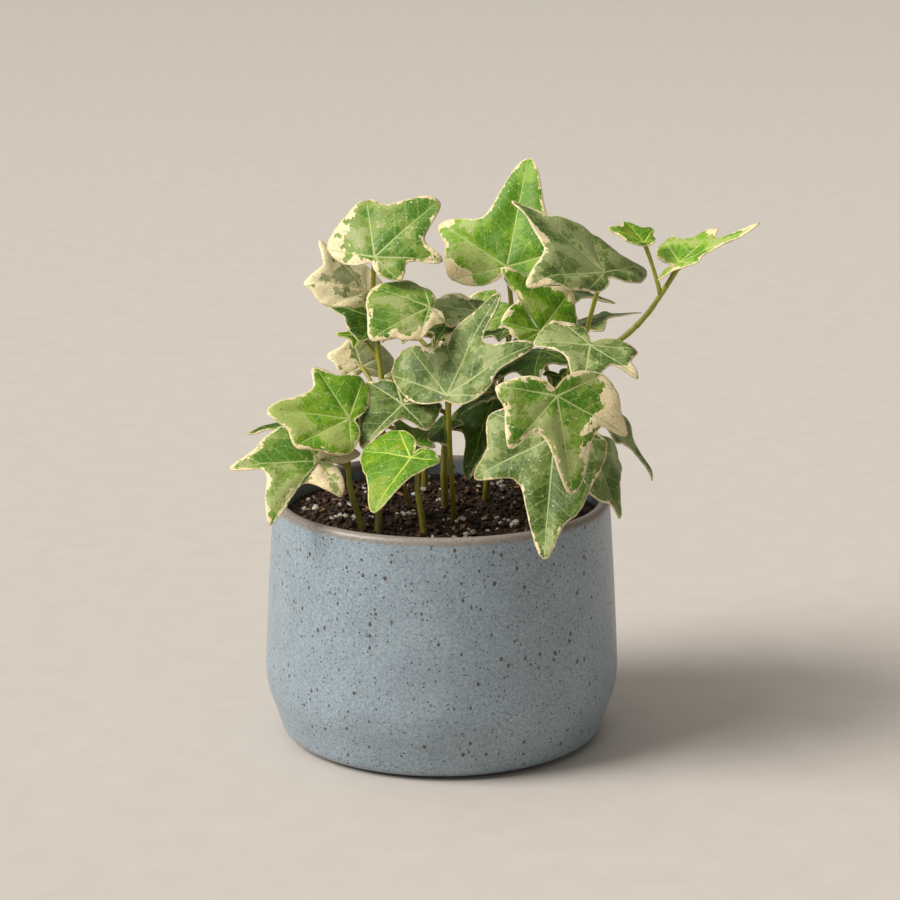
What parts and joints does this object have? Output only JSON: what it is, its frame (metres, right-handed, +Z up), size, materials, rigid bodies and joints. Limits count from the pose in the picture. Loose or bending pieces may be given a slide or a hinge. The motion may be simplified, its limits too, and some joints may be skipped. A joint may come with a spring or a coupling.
{
  "type": "potted ivy",
  "caption": "Small variegated ivy with lobed green and cream leaves on short stems, growing in a round speckled stoneware pot",
  "frame": {"origin": "middle of the flat under the pot, on the surface that it stands on", "axes": "+Z up along the pot's axis, -Y towards the front of the plant, +X to the side where the longest stem trails"},
  "size_m": [0.1762, 0.1483, 0.1944],
  "materials": {
    "glazed_stoneware": "satin blue-grey reactive glaze with fine mottling, brown iron specks and a taupe rim",
    "potting_soil": "damp dark peat and bark mix with white perlite",
    "stem": "smooth olive green stem, browner near the soil",
    "leaf_bright": "satin leaf, fresh green with a thin cream edge",
    "leaf_grey": "satin leaf, grey-green with pale veins and a thin cream edge",
    "leaf_marbled": "satin leaf, marbled green and grey-green with a wide cream edge",
    "leaf_dark": "satin leaf, deep green, shaded inner growth",
    "leaf_cream": "satin leaf, mostly cream with a grey-green heart",
    "leaf_young": "satin leaf, young yellow-green growth"
  },
  "bodies": {
    "root": {"pot": "glazed_stoneware", "soil": "potting_soil", "stem_left_low": "stem", "stem_left_tall": "stem", "stem_front": "stem", "stem_centre": "stem", "stem_right": "stem", "stem_trailing": "stem", "stem_top": "stem", "stem_back": "stem", "leaf_top_left": "leaf_marbled", "leaf_left_cream": "leaf_cream", "leaf_left_shaded": "leaf_dark", "leaf_left_bud": "leaf_young", "leaf_left_folded": "leaf_marbled", "leaf_left_pale": "leaf_cream", "leaf_left_small": "leaf_grey", "leaf_inner_1": "leaf_dark", "leaf_inner_2": "leaf_bright", "leaf_inner_3": "leaf_dark", "leaf_behind_centre": "leaf_grey", "leaf_centre": "leaf_grey", "leaf_middle_left": "leaf_grey", "leaf_inner_low": "leaf_dark", "leaf_inner_big": "leaf_dark", "leaf_inner_curled": "leaf_dark", "leaf_top": "leaf_bright", "leaf_top_right": "leaf_grey", "leaf_upper_middle": "leaf_bright", "leaf_upper_inner": "leaf_dark", "leaf_upper_bud": "leaf_young", "leaf_tip_bud": "leaf_young", "leaf_far_right": "leaf_bright", "leaf_right_behind": "leaf_grey", "leaf_right_thin": "leaf_grey", "leaf_right": "leaf_grey", "leaf_front_right": "leaf_marbled", "leaf_over_rim": "leaf_grey", "leaf_right_low": "leaf_grey", "leaf_right_under": "leaf_grey", "leaf_arch": "leaf_dark", "leaf_right_inner": "leaf_dark", "leaf_front_bright": "leaf_young", "leaf_front_behind": "leaf_bright", "leaf_near_soil": "leaf_bright", "leaf_left": "leaf_bright", "leaf_left_low": "leaf_marbled", "leaf_left_dark": "leaf_dark", "leaf_back_1": "leaf_grey", "leaf_back_2": "leaf_marbled", "leaf_back_3": "leaf_bright", "leaf_back_4": "leaf_grey", "leaf_back_5": "leaf_marbled", "leaf_back_6": "leaf_dark", "leaf_back_7": "leaf_grey"}
  },
  "joints": []
}
